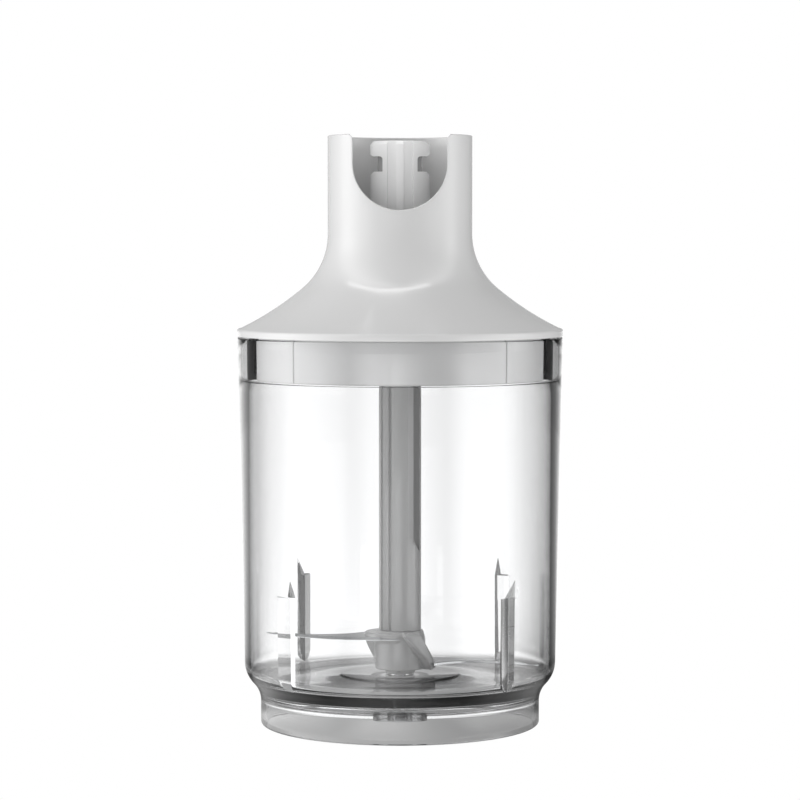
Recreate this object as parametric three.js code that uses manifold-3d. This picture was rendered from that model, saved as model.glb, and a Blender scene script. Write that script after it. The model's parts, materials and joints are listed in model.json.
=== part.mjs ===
// Chopper attachment for a hand blender: a clear bowl on a ring foot, a two-bladed knife on a tall fluted
// shaft that turns on a steel pin, and a flared lid. The lid's neck takes the blender, and the lid holds a
// planetary reduction gear. Millimetres, +Z up. The origin is on the axis, in the plane that the foot stands
// on. -Y is the front, where the neck has its notch.
import * as THREE from "three";
import { ConvexGeometry } from "three/addons/geometries/ConvexGeometry.js";
import { mergeVertices } from "three/addons/utils/BufferGeometryUtils.js";
import Module from "manifold-3d";

const wasm = await Module();
wasm.setup();

const TAU = Math.PI * 2;
const degrees = THREE.MathUtils.degToRad;
const FRONT = -Math.PI / 2;

// ---- Driving dimensions ----

const SEGMENTS = 40; // facets round a large piece
const FINE = 20; // facets round a small piece
const GAP = 0.3; // between pieces that rest on or in each other
const RUN = 0.08; // radial play of a running fit

// Bowl
const RIM_Z = 136.5;
const RIM_R = 57.2; // outside, at the rim
const LIP_R = 55.65; // inside, above the ledge that the lid's skirt stops at
const LEDGE_Z = 121.6;
const INNER_TOP_R = 53.2;
const INNER_BASE_R = 52.8;
const WALL_BASE_R = 54.9; // outside, where the wall meets the shoulder
const WALL_BASE_Z = 22;
const FOOT_R = 49.2;
const FOOT_WALL = 1.8;
const FOOT_FILLET = 4.5; // inside the foot, under the floor
const FOOT_TOP_Z = 8; // where the foot turns into the shoulder
const FLOOR_Z = 17.2;
const FLOOR_WALL = 3;
const FLOOR_FILLET = 3.2;
const PAD_R = 20.8; // raised disc round the pin
const PAD_RISE = 0.7;
const BOSS_R = 9.5;
const BOSS_BORE_R = 7.7;
const BOSS_Z = 2.5;
const PIN_HOLDER_R = 4.4;
const BOSS_WEBS = 4; // between the pin's holder and the boss
const BOSS_WEB_HALF = 0.6;
const PIN_R = 2;
const PIN_TOP_Z = 31.5;
const PIN_BASE_Z = 4.5;

// Vertical ribs on the bowl's inner wall
const RIBS = 4;
const RIB_RISE = 3;
const RIB_LONG = 5.2; // along the wall, on the ramp side of the crest
const RIB_SHORT = 1.2; // along the wall, on the steep side
const RIB_CREST_Z = 48.7;
const RIB_TIP_Z = 54.8;

// Lid
const NECK_R = 25.35;
const NECK_TOP_Z = 207;
const NECK_WALL = 2.4;
const SOCKET_FLOOR_Z = 167.5; // floor of the neck's socket
const FLARE_Z = 172.8; // where the neck starts to flare
const FLARE_R1 = 25; // first arc of the flare, and the angle it turns through
const FLARE_TURN1 = degrees(50);
const FLARE_R2 = 104; // second, flatter arc, and the angle where it ends
const FLARE_TURN2 = degrees(65);
const LID_WALL = 2.2;
const BAND_R = 57.3;
const BAND_TOP_Z = 139.2;
const BAND_Z = RIM_Z + GAP;
const NOTCH_R = 16.3;
const NOTCH_CENTRE_Z = 197.1;
const SKIRT_R = LIP_R - 0.35;
const SKIRT_WALL = 2.1;
const SKIRT_Z = LEDGE_Z + 0.4;
const SKIRT_TOP_Z = 137;
const BASE_WALL = 2.2;
const SLOT_ANGLE = degrees(65.5); // slots in the skirt, either side of the front and of the back
const SLOT_WIDTH = 8.6;
const SEAM_ANGLE = degrees(40); // fine grooves beside the slots
const SEAM_WIDTH = 0.8;

// Planetary gear: fixed ring, sun on the input, carrier on the output
const MODULE = 1.1;
const PRESSURE = degrees(25);
const SUN_TEETH = 12;
const PLANET_TEETH = 18;
const RING_TEETH = SUN_TEETH + 2 * PLANET_TEETH;
const PLANETS = 3;
const ADDENDUM = 0.8 * MODULE;
const DEDENDUM = 1.05 * MODULE;
const THINNING = 0.2; // off each tooth's thickness, for play
const GEAR_Z = 134.9;
const GEAR_TOP_Z = 142.3;
const RING_R = 30;
const HOUSING_R = 32.3;
const HOUSING_TOP_Z = 145;
const PLANET_PIN_R = 2.2;
const CARRIER_R = 22.5;
const CARRIER_Z = 132;
const CARRIER_WALL = 2.3;
const HUB_SOCKET_R = 11;
const BUSH_R = 13;
const BUSH_TOP_Z = 131;
const COVER_Z = HOUSING_TOP_Z + GAP;
const COVER_WALL = 1.8;
const COVER_R = 36.6;
const SCREW_RING_R = 33.4;
const SCREW_R = 1.2;

// Coupling tube and input drive
const TUBE_R = 10.45;
const TUBE_BORE_R = 8.6;
const TUBE_TOP_Z = 205;
const TUBE_FLUTE = 0.55;
const TUBE_FLUTE_HALF = 1.7;
const TUBE_FLUTE_ANGLE = degrees(16.5);
const WINDOW_Z = 194.3;
const WINDOW_TOP_Z = 199.6;
const WINDOW_INNER_X = 6.1;
const DRIVE_R = 3;
const DOG_R = 8.1;
const DOG_Z = 174;
const DOG_TOP_Z = 201.5;
const COLLAR_TOP_Z = 157;
const SEAL_DEPTH = 3.1; // the shaft's seal, below the skirt
const SEAL_R = 16;

// Knife
const HUB_R = 9;
const HUB_Z = 19.7;
const COLLAR_R = 12.8; // reach on the upper blade's side
const COLLAR_HALF = 9.9; // half its length
const FIN_R = 12.6;
const COLLAR_Z = 29.6;
const HUB_TOP_Z = 33.4;
const SLEEVE_R = 3.6;
const SPIGOT_R = 3.1;
const SHAFT_R = 7.5;
const SHAFT_TOP_Z = 131;
const RIDGE_HALF_ANGLE = degrees(23); // of the two wide ridges, at the front and the back
const SIDE_RIDGE = [degrees(69), degrees(102)]; // the two side ridges, from the middle of the front one
const LONG_FLUTE = [4.6, degrees(-42)]; // valley of each flute: its radius, and angle from the ridge
const SHORT_FLUTE = [5.3, degrees(58)];
const FLUTE_END_Z = 65.5; // where the two short flutes start to run out
const FLUTE_RAMP = 6;
const BLADE_THICKNESS = 1;
const UPPER_BLADE_Z = 30.8;
const LOWER_BLADE_Z = 21.4;

// ---- Materials ----

function material(colour, roughness, metalness, opacity = 1) {
  return new THREE.MeshStandardMaterial({
    color: colour,
    roughness,
    metalness,
    opacity,
    transparent: opacity < 1,
  });
}

const clearPlastic = material(0xe9edee, 0.05, 0, 0.3);
const whitePlastic = material(0xe4e4e4, 0.25, 0);
const greyPlastic = material(0xb4b4b4, 0.35, 0);
const gearPlastic = material(0xd9d4c4, 0.5, 0);
const sealRubber = material(0xcfcfcf, 0.6, 0);
const steel = material(0xc4c6c8, 0.22, 1);
const bronze = material(0xa8824e, 0.4, 1);

// ---- Solids ----

// A closed geometry as a solid. One that is wound inside out is turned round.
function solidOf(geometry) {
  const bare = geometry.index ? geometry.toNonIndexed() : geometry.clone();
  bare.deleteAttribute("normal");
  bare.deleteAttribute("uv");
  const merged = mergeVertices(bare, 1e-4);
  const vertProperties = merged.attributes.position.array;
  const triVerts = new Uint32Array(merged.index.array);
  const made = new wasm.Manifold(new wasm.Mesh({ numProp: 3, vertProperties, triVerts }));
  if (made.volume() > 0) return made;
  triVerts.reverse();
  return new wasm.Manifold(new wasm.Mesh({ numProp: 3, vertProperties, triVerts }));
}

function meshOf(name, solid, look) {
  const { numProp, vertProperties, triVerts } = solid.getMesh();
  const vertices = new Float32Array((vertProperties.length / numProp) * 3);
  for (let i = 0; i < vertices.length / 3; i++) {
    vertices.set(vertProperties.subarray(i * numProp, i * numProp + 3), i * 3);
  }
  const geometry = new THREE.BufferGeometry()
    .setAttribute("position", new THREE.BufferAttribute(vertices, 3))
    .setIndex(new THREE.BufferAttribute(triVerts, 1));
  geometry.computeVertexNormals();
  const mesh = new THREE.Mesh(geometry, look);
  mesh.name = name;
  return mesh;
}

// A closed [radius, height] outline turned round the Z axis.
function revolve(outline, segments = SEGMENTS) {
  const points = [...outline, outline[0]].map(([r, z]) => new THREE.Vector2(r, z));
  return solidOf(new THREE.LatheGeometry(points, segments).rotateX(Math.PI / 2));
}

function ring(outer, inner, low, high, segments = SEGMENTS) {
  const outline = [[inner, low], [outer, low], [outer, high], [inner, high]];
  return revolve(outline, segments);
}

function disc(radius, low, high, segments = FINE) {
  const geometry = new THREE.CylinderGeometry(radius, radius, high - low, segments);
  return solidOf(geometry.rotateX(Math.PI / 2).translate(0, 0, (low + high) / 2));
}

function prism(shape, low, high, curveSegments = FINE / 2) {
  const depth = high - low;
  const geometry = new THREE.ExtrudeGeometry(shape, { depth, bevelEnabled: false, curveSegments });
  return solidOf(geometry.translate(0, 0, low));
}

function box([x0, y0, z0], [x1, y1, z1]) {
  const geometry = new THREE.BoxGeometry(x1 - x0, y1 - y0, z1 - z0);
  return solidOf(geometry.translate((x0 + x1) / 2, (y0 + y1) / 2, (z0 + z1) / 2));
}

function hull(points) {
  return solidOf(new ConvexGeometry(points.map((p) => new THREE.Vector3(...p))));
}

function turned(solid, angle) {
  return solid.rotate([0, 0, THREE.MathUtils.radToDeg(angle)]);
}

function polar(radius, angle, z) {
  const flat = [radius * Math.cos(angle), radius * Math.sin(angle)];
  return z === undefined ? flat : [...flat, z];
}

// Points on an arc in an outline's plane, both ends included.
function arc([cx, cy], radius, from, to, steps) {
  return Array.from({ length: steps + 1 }, (_, i) => {
    const angle = from + ((to - from) * i) / steps;
    return [cx + radius * Math.cos(angle), cy + radius * Math.sin(angle)];
  });
}

function bezier(a, b, c, d, steps) {
  const [start, pull, push, end] = [a, b, c, d].map(([x, y]) => new THREE.Vector2(x, y));
  return new THREE.CubicBezierCurve(start, pull, push, end).getPoints(steps).map(({ x, y }) => [x, y]);
}

function shapeOf(points) {
  return new THREE.Shape(points.map(([x, y]) => new THREE.Vector2(x, y)));
}

// A clockwise outline moved outwards by a distance.
function widened(points, distance) {
  const normal = ([ax, ay], [bx, by]) => {
    const length = Math.hypot(bx - ax, by - ay);
    return [(ay - by) / length, (bx - ax) / length];
  };
  return points.map((point, i) => {
    const before = normal(points.at(i - 1), point);
    const after = normal(point, points[(i + 1) % points.length]);
    const sum = [before[0] + after[0], before[1] + after[1]];
    const reach = distance / Math.max(0.5, (sum[0] ** 2 + sum[1] ** 2) / 2);
    return [point[0] + sum[0] * reach, point[1] + sum[1] * reach];
  });
}

function withBore(shape, radius) {
  shape.holes.push(new THREE.Path().absarc(0, 0, radius, 0, TAU, true));
  return shape;
}

// ---- Bowl ----

// The S-shaped shoulder between foot and wall: two equal arcs that meet in the middle.
function shoulder(lowR, lowZ, highR, highZ, steps) {
  const run = highR - lowR;
  const rise = highZ - lowZ;
  const radius = (run * run + rise * rise) / (4 * run);
  const turn = Math.asin(rise / (2 * radius));
  const lower = arc([lowR + radius, lowZ], radius, Math.PI, Math.PI - turn, steps);
  const upper = arc([highR - radius, highZ], radius, -turn, 0, steps);
  return [...lower, ...upper.slice(1)];
}

function wallRib(angle) {
  const seat = INNER_BASE_R + 1; // inside the wall's thickness
  const across = (along, radius, z) => polar(radius, angle + along / radius, z);
  const crest = INNER_BASE_R - RIB_RISE;
  const corners = (crestZ, tipZ) => [
    across(-RIB_LONG, seat, crestZ),
    across(0, crest, crestZ),
    across(RIB_SHORT, seat, tipZ),
  ];
  return hull([...corners(FLOOR_Z - 1, FLOOR_Z - 1), ...corners(RIB_CREST_Z, RIB_TIP_Z)]);
}

function bossWeb(angle) {
  const bite = 0.4; // into the walls that it joins
  const low = [PIN_HOLDER_R - bite, -BOSS_WEB_HALF, BOSS_Z + 1.5];
  const high = [BOSS_BORE_R + bite, BOSS_WEB_HALF, FLOOR_Z - 1];
  return turned(box(low, high), angle);
}

function bowl() {
  const ceiling = FLOOR_Z - FLOOR_WALL;
  const footInner = FOOT_R - FOOT_WALL;
  const edge = 0.4;
  const outline = [
    [footInner + edge, 0],
    [FOOT_R - edge, 0],
    [FOOT_R, edge],
    ...shoulder(FOOT_R, FOOT_TOP_Z, WALL_BASE_R, WALL_BASE_Z, 3),
    [RIM_R, RIM_Z - edge],
    [RIM_R - edge, RIM_Z],
    [LIP_R, RIM_Z],
    [LIP_R, LEDGE_Z],
    [INNER_TOP_R, LEDGE_Z],
    ...arc([INNER_BASE_R - FLOOR_FILLET, FLOOR_Z + FLOOR_FILLET], FLOOR_FILLET, 0, -Math.PI / 2, 3),
    [PAD_R + PAD_RISE, FLOOR_Z],
    [PAD_R, FLOOR_Z + PAD_RISE],
    [PIN_R + RUN, FLOOR_Z + PAD_RISE],
    [PIN_R + RUN, BOSS_Z + 1],
    [PIN_HOLDER_R, BOSS_Z + 1],
    [PIN_HOLDER_R, ceiling],
    [BOSS_BORE_R, ceiling],
    [BOSS_BORE_R, BOSS_Z],
    [BOSS_R, BOSS_Z],
    [BOSS_R, ceiling],
    ...arc([footInner - FOOT_FILLET, ceiling - FOOT_FILLET], FOOT_FILLET, Math.PI / 2, 0, 2),
    [footInner, edge],
  ];
  let made = revolve(outline);
  for (let i = 0; i < RIBS; i++) made = made.add(wallRib(FRONT + (TAU * (i + 0.5)) / RIBS));
  for (let i = 0; i < BOSS_WEBS; i++) made = made.add(bossWeb(FRONT + (TAU * (i + 0.5)) / BOSS_WEBS));
  return meshOf("bowl", made, clearPlastic);
}

function centrePin() {
  const bevel = 0.7;
  const outline = [
    [0, PIN_BASE_Z],
    [PIN_R, PIN_BASE_Z],
    [PIN_R, PIN_TOP_Z - bevel],
    [PIN_R - bevel, PIN_TOP_Z],
    [0, PIN_TOP_Z],
  ];
  return meshOf("centre_pin", revolve(outline, FINE), steel);
}

// ---- Knife ----

// Plan of the upper blade, which sweeps from the front of the hub to a tip at -X: a long convex cutting edge
// and a tighter hollow back, joined by a root that lies in the hub.
function bladePlan(clearance = 0) {
  const tip = [-48.2, 9.5];
  const cuttingEdge = bezier([0, -10.4], [-18, -12.4], [-38, -5], tip, 10);
  const back = bezier(tip, [-38, 0.5], [-24, -5], [-12, 6.8], 8).slice(1);
  const root = [[-7.6, 6.2], [-5.4, 3.4], [-4.9, -0.5], [-3.4, -3.8], [2.4, -5.2], [4.6, -8.6]];
  return shapeOf(widened([...cuttingEdge, ...back, ...root], clearance));
}

function blade(name, low, angle) {
  return meshOf(name, turned(prism(bladePlan(), low, low + BLADE_THICKNESS), angle), steel);
}

// A fin that winds down round the hub from the collar to the lower blade, as wedges from section to section.
function windingFin() {
  const steps = 7;
  const section = (i) => {
    const turn = 12 + (80 * i) / steps; // degrees from the front
    const fall = Math.max(0, (turn - 36) / 54);
    const top = HUB_TOP_Z - 0.4 - 10.3 * Math.sin((fall * Math.PI) / 2);
    const low = Math.max(HUB_Z, HUB_TOP_Z - 3.6 - 0.2 * (turn - 15));
    const corners = [[HUB_R - 1, low], [FIN_R, low], [FIN_R, top], [HUB_R - 1, top]];
    return corners.map(([r, z]) => polar(r, FRONT + degrees(turn), z));
  };
  let made = hull([...section(0), ...section(1)]);
  for (let i = 1; i < steps; i++) made = made.add(hull([...section(i), ...section(i + 1)]));
  return made;
}

// A gusset under the collar at the upper blade's side.
function rootGusset() {
  const side = (angle) => [
    polar(HUB_R - 1, angle, COLLAR_Z + 0.2),
    polar(COLLAR_R - 0.5, angle, COLLAR_Z + 0.2),
    polar(COLLAR_R - 1.9, angle, COLLAR_Z - 2.6),
    polar(HUB_R - 1, angle, COLLAR_Z - 6.4),
  ];
  return hull([...side(degrees(160)), ...side(degrees(178))]);
}

function bladeHub() {
  const collarX = COLLAR_HALF - COLLAR_R;
  const collarPlan = new THREE.Shape().absellipse(collarX, 0, COLLAR_HALF, HUB_R + 0.6, 0, TAU, false, 0);
  const seat = 0.2;
  const root = (low, angle) => {
    const pocket = prism(bladePlan(seat), low - seat, low + BLADE_THICKNESS + seat);
    return turned(pocket, angle);
  };
  const made = disc(HUB_R, HUB_Z, HUB_TOP_Z, SEGMENTS)
    .add(prism(collarPlan, COLLAR_Z, HUB_TOP_Z - 0.5, 24))
    .add(disc(SPIGOT_R, HUB_TOP_Z - 1, HUB_TOP_Z + 11))
    .add(windingFin())
    .add(rootGusset())
    .subtract(disc(SLEEVE_R + RUN, HUB_Z - 1, PIN_TOP_Z + 1.2))
    .subtract(root(UPPER_BLADE_Z, 0))
    .subtract(root(LOWER_BLADE_Z, Math.PI));
  return meshOf("blade_hub", made, greyPlastic);
}

function pinSleeve() {
  const flange = 5.2;
  const low = FLOOR_Z + PAD_RISE + 0.2;
  const outline = [
    [PIN_R + RUN, low],
    [flange, low],
    [flange, HUB_Z - 0.3],
    [SLEEVE_R, HUB_Z - 0.3],
    [SLEEVE_R, PIN_TOP_Z + 0.8],
    [PIN_R + RUN, PIN_TOP_Z + 0.8],
  ];
  return meshOf("pin_sleeve", revolve(outline, FINE), gearPlastic);
}

// The shaft's section, the same front and back: a wide ridge with a deep flute on one side of it and a
// shallower one, whose valley is close to the side ridge, on the other.
function shaftPlan(grow = 0) {
  const radius = SHAFT_R + grow;
  const points = [];
  for (const middle of [FRONT, -FRONT]) {
    const [longR, longAngle] = LONG_FLUTE;
    const [shortR, shortAngle] = SHORT_FLUTE;
    points.push(polar(longR + grow, middle + longAngle));
    points.push(...arc([0, 0], radius, middle - RIDGE_HALF_ANGLE, middle + RIDGE_HALF_ANGLE, 4));
    points.push(polar(shortR + grow, middle + shortAngle));
    points.push(...arc([0, 0], radius, middle + SIDE_RIDGE[0], middle + SIDE_RIDGE[1], 3));
  }
  return shapeOf(points);
}

// Fills a short flute below the height where it runs out, with a ramp up to the outside.
function fluteFill(middle) {
  const low = HUB_TOP_Z + 0.2;
  const rim = arc([0, 0], SHAFT_R, middle + RIDGE_HALF_ANGLE, middle + SIDE_RIDGE[0], 4);
  const valley = polar(SHORT_FLUTE[0] - 1, middle + SHORT_FLUTE[1]);
  return hull([
    ...rim.flatMap((point) => [[...point, low], [...point, FLUTE_END_Z - FLUTE_RAMP]]),
    [...valley, low],
    [...valley, FLUTE_END_Z],
  ]);
}

function bladeShaft() {
  const made = prism(shaftPlan(), HUB_TOP_Z + 0.2, SHAFT_TOP_Z)
    .add(fluteFill(FRONT))
    .add(fluteFill(-FRONT))
    .subtract(disc(SPIGOT_R + 0.15, HUB_TOP_Z - 1, HUB_TOP_Z + 12));
  return meshOf("blade_shaft", made, greyPlastic);
}

// ---- Lid ----

// Outline of the flare, pushed in by a wall's thickness, between two turning angles.
function flare(wall, from, to) {
  const c1 = [NECK_R + FLARE_R1, FLARE_Z];
  const joint = [c1[0] - FLARE_R1 * Math.cos(FLARE_TURN1), c1[1] - FLARE_R1 * Math.sin(FLARE_TURN1)];
  const c2 = [joint[0] + FLARE_R2 * Math.cos(FLARE_TURN1), joint[1] + FLARE_R2 * Math.sin(FLARE_TURN1)];
  const first = arc(c1, FLARE_R1 + wall, Math.PI + from, Math.PI + FLARE_TURN1, 5);
  const second = arc(c2, FLARE_R2 + wall, Math.PI + FLARE_TURN1, Math.PI + to, 3);
  return [...first, ...second.slice(1)];
}

function notch() {
  const plan = new THREE.Shape()
    .moveTo(NOTCH_R, NECK_TOP_Z + 2)
    .lineTo(-NOTCH_R, NECK_TOP_Z + 2)
    .lineTo(-NOTCH_R, NOTCH_CENTRE_Z)
    .absarc(0, NOTCH_CENTRE_Z, NOTCH_R, Math.PI, TAU, false);
  const geometry = new THREE.ExtrudeGeometry(plan, { depth: 20, bevelEnabled: false, curveSegments: 20 });
  return solidOf(geometry.rotateX(Math.PI / 2).translate(0, -10, 0));
}

function lidCover() {
  const socketR = NECK_R - NECK_WALL;
  const webZ = SOCKET_FLOOR_Z - 2.4;
  const webTurn = Math.asin((FLARE_Z - webZ) / (FLARE_R1 + LID_WALL));
  const edge = 0.5;
  const outline = [
    [socketR, NECK_TOP_Z],
    [NECK_R, NECK_TOP_Z],
    ...flare(0, 0, FLARE_TURN2 - degrees(0.4)),
    [BAND_R, BAND_TOP_Z - edge],
    [BAND_R, BAND_Z],
    [LIP_R, BAND_Z],
    ...flare(LID_WALL, webTurn, FLARE_TURN2 - degrees(0.6)).reverse(),
    [TUBE_R + GAP, webZ],
    [TUBE_R + GAP, SOCKET_FLOOR_Z],
    [socketR, SOCKET_FLOOR_Z],
  ];
  return meshOf("lid_cover", revolve(outline).subtract(notch()), whitePlastic);
}

function screwPlace(i) {
  return polar(SCREW_RING_R, FRONT + TAU / 6 + (TAU * i) / 3);
}

function skirtCut(angle, width, depth) {
  const cut = box([SKIRT_R - depth, -width / 2, SKIRT_Z - 1], [SKIRT_R + 1, width / 2, SKIRT_TOP_Z + 1]);
  return turned(cut, angle);
}

// The lid's underside: a plate with the skirt that drops into the bowl, the gear housing and the seat of the
// output bearing.
function lidBase() {
  const plateTop = SKIRT_Z + BASE_WALL;
  const seatR = BUSH_R + 0.1;
  const outline = [
    [seatR, SKIRT_Z],
    [SKIRT_R, SKIRT_Z],
    [SKIRT_R, SKIRT_TOP_Z],
    [SKIRT_R - SKIRT_WALL, SKIRT_TOP_Z],
    [SKIRT_R - SKIRT_WALL, plateTop],
    [HOUSING_R, plateTop],
    [HOUSING_R, HOUSING_TOP_Z],
    [RING_R + 0.1, HOUSING_TOP_Z],
    [RING_R + 0.1, GEAR_Z - GAP],
    [RING_R - 2, GEAR_Z - GAP],
    [RING_R - 2, plateTop],
    [seatR + 2.2, plateTop],
    [seatR + 2.2, BUSH_TOP_Z],
    [seatR, BUSH_TOP_Z],
  ];
  let made = revolve(outline);
  for (let i = 0; i < 3; i++) {
    const [x, y] = screwPlace(i);
    made = made
      .add(disc(3, plateTop - 0.5, HOUSING_TOP_Z, 20).translate([x, y, 0]))
      .subtract(disc(RING_R + 0.1, GEAR_Z - GAP, HOUSING_TOP_Z + 1, SEGMENTS))
      .subtract(disc(SCREW_R + 0.12, HOUSING_TOP_Z - 10, HOUSING_TOP_Z + 1, 16).translate([x, y, 0]));
  }
  for (const middle of [FRONT, -FRONT]) {
    for (const side of [-1, 1]) {
      made = made
        .subtract(skirtCut(middle + side * SLOT_ANGLE, SLOT_WIDTH, SKIRT_WALL + 0.8))
        .subtract(skirtCut(middle + side * SEAM_ANGLE, SEAM_WIDTH, 0.6));
    }
  }
  return meshOf("lid_base", made, whitePlastic);
}

function shaftSeal() {
  const low = SKIRT_Z - SEAL_DEPTH;
  const top = SKIRT_Z - 0.2;
  const bevel = 0.6;
  const inner = SHAFT_R + 0.7;
  const outline = [
    [inner, low + bevel],
    [SHAFT_R + 2, low],
    [SEAL_R - bevel, low],
    [SEAL_R, low + bevel],
    [SEAL_R, top],
    [inner, top],
  ];
  return meshOf("shaft_seal", revolve(outline, SEGMENTS), sealRubber);
}

function outputBush() {
  return meshOf("output_bush", ring(BUSH_R, HUB_SOCKET_R + RUN, SKIRT_Z + 0.2, BUSH_TOP_Z, SEGMENTS), bronze);
}

// The gear cover, with the collar for the input bearing and the tall tube that the blender's neck latches on.
function gearCover() {
  const seatR = DRIVE_R + 2.6;
  const top = COVER_Z + COVER_WALL;
  const outline = [
    [seatR, COVER_Z],
    [COVER_R, COVER_Z],
    [COVER_R, top],
    [TUBE_R, top],
    [TUBE_R, TUBE_TOP_Z - 1.2],
    [TUBE_R - 1.2, TUBE_TOP_Z],
    [TUBE_BORE_R, TUBE_TOP_Z],
    [TUBE_BORE_R, COLLAR_TOP_Z],
    [seatR, COLLAR_TOP_Z],
  ];
  let made = revolve(outline, SEGMENTS);
  for (const side of [-1, 1]) {
    const low = [side > 0 ? WINDOW_INNER_X : -TUBE_R - 1, -TUBE_R - 1, WINDOW_Z];
    const high = [side > 0 ? TUBE_R + 1 : -WINDOW_INNER_X, TUBE_R + 1, WINDOW_TOP_Z];
    made = made.subtract(box(low, high));
  }
  const fluteLow = [TUBE_R - TUBE_FLUTE, -TUBE_FLUTE_HALF, SOCKET_FLOOR_Z + 1];
  const flute = box(fluteLow, [TUBE_R + 1, TUBE_FLUTE_HALF, TUBE_TOP_Z + 1]);
  for (const middle of [FRONT, -FRONT]) {
    for (const side of [-1, 1]) made = made.subtract(turned(flute, middle + side * TUBE_FLUTE_ANGLE));
  }
  for (let i = 0; i < 3; i++) {
    const [x, y] = screwPlace(i);
    made = made.subtract(disc(SCREW_R + 0.15, COVER_Z - 1, top + 1, 16).translate([x, y, 0]));
  }
  return meshOf("gear_cover", made, whitePlastic);
}

function coverScrew(i) {
  const seat = COVER_Z + COVER_WALL + 0.1;
  const cross = box([-1.3, -0.3, seat + 0.7], [1.3, 0.3, seat + 2]);
  const made = disc(SCREW_R, HOUSING_TOP_Z - 8, seat + 0.2, 16)
    .add(disc(2.1, seat, seat + 1.3, 20))
    .subtract(cross)
    .subtract(turned(cross, TAU / 4));
  return meshOf(`gear_cover_screw_${i + 1}`, made.translate([...screwPlace(i), 0]), steel);
}

// ---- Gears and drive ----

// Outline of involute teeth from the root radius to the tip radius, each thinner than nominal by the
// thinning. A negative thinning widens them, which gives the spaces of an internal gear.
function toothOutline(teeth, root, tip, thinning, phase, steps = 1) {
  const pitchR = (teeth * MODULE) / 2;
  const baseR = pitchR * Math.cos(PRESSURE);
  const involute = (a) => Math.tan(a) - a;
  const atPitch = Math.PI / (2 * teeth) - thinning / 2 / pitchR;
  const halfAngle = (r) => atPitch + involute(PRESSURE) - involute(Math.acos(Math.min(1, baseR / r)));
  const flankStart = Math.max(root, baseR);
  const radii = Array.from({ length: steps + 1 }, (_, i) => flankStart + ((tip - flankStart) * i) / steps);
  if (root < baseR) radii.unshift(root);
  const points = [];
  for (let k = 0; k < teeth; k++) {
    const middle = phase + (TAU * k) / teeth;
    for (const r of radii) points.push(polar(r, middle - halfAngle(r)));
    for (const r of [...radii].reverse()) points.push(polar(r, middle + halfAngle(r)));
  }
  return points;
}

function externalGear(teeth, phase, boreR) {
  const pitchR = (teeth * MODULE) / 2;
  const points = toothOutline(teeth, pitchR - DEDENDUM, pitchR + ADDENDUM, THINNING, phase);
  return prism(withBore(shapeOf(points), boreR), GEAR_Z, GEAR_TOP_Z);
}

function planetAngle(i) {
  return FRONT + (TAU * i) / PLANETS;
}

const PLANET_ORBIT = ((SUN_TEETH + PLANET_TEETH) * MODULE) / 2;

// How far a gear's tooth is past a direction, as a share of one pitch.
function shareOfPitch(teeth, phase, direction) {
  const turns = ((direction - phase) * teeth) / TAU;
  return turns - Math.floor(turns);
}

// The sun has a tooth at angle 0, and each planet a space where it meets a tooth of the sun.
function planetPhase(i) {
  const towards = planetAngle(i);
  return towards + Math.PI + ((shareOfPitch(SUN_TEETH, 0, towards) - 0.5) * TAU) / PLANET_TEETH;
}

function ringGear() {
  const pitchR = (RING_TEETH * MODULE) / 2;
  const towards = planetAngle(0);
  const phase = towards - (shareOfPitch(PLANET_TEETH, planetPhase(0), towards) * TAU) / RING_TEETH;
  const spaces = toothOutline(RING_TEETH, pitchR - ADDENDUM, pitchR + DEDENDUM, -THINNING, phase);
  const shape = new THREE.Shape().absarc(0, 0, RING_R, 0, TAU, false);
  shape.holes.push(new THREE.Path(spaces.map(([x, y]) => new THREE.Vector2(x, y))));
  return meshOf("ring_gear", prism(shape, GEAR_Z, GEAR_TOP_Z, SEGMENTS / 2), gearPlastic);
}

function sunGear() {
  return meshOf("sun_gear", externalGear(SUN_TEETH, 0, DRIVE_R + 0.1), steel);
}

function planetGear(i) {
  const gear = externalGear(PLANET_TEETH, planetPhase(i), PLANET_PIN_R + RUN);
  const place = [...polar(PLANET_ORBIT, planetAngle(i)), 0];
  return meshOf(`planet_gear_${i + 1}`, gear.translate(place), gearPlastic);
}

function planetPin(i) {
  const pin = disc(PLANET_PIN_R, CARRIER_Z + 0.2, GEAR_TOP_Z + 2, FINE);
  return meshOf(`planet_pin_${i + 1}`, pin.translate([...polar(PLANET_ORBIT, planetAngle(i)), 0]), steel);
}

function withPinHoles(solid) {
  let made = solid;
  for (let i = 0; i < PLANETS; i++) {
    const hole = disc(PLANET_PIN_R + 0.1, CARRIER_Z - 1, GEAR_TOP_Z + 4, FINE);
    made = made.subtract(hole.translate([...polar(PLANET_ORBIT, planetAngle(i)), 0]));
  }
  return made;
}

// The output: a plate under the planets, and a hub whose socket takes the fluted top of the knife's shaft.
function planetCarrier() {
  const socket = prism(shaftPlan(0.35), SKIRT_Z - 1, SHAFT_TOP_Z + 0.5);
  const made = disc(HUB_SOCKET_R, SKIRT_Z + 0.3, CARRIER_Z + 0.5, SEGMENTS)
    .add(disc(CARRIER_R, CARRIER_Z, CARRIER_Z + CARRIER_WALL, SEGMENTS))
    .subtract(socket);
  return meshOf("planet_carrier", withPinHoles(made), greyPlastic);
}

function carrierPlate() {
  const low = GEAR_TOP_Z + 0.4;
  return meshOf("carrier_plate", withPinHoles(ring(CARRIER_R, 8.9, low, low + 1.4, SEGMENTS)), steel);
}

function driveShaft() {
  return meshOf("drive_shaft", disc(DRIVE_R, GEAR_Z + 0.3, DOG_TOP_Z - 5, FINE), steel);
}

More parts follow.
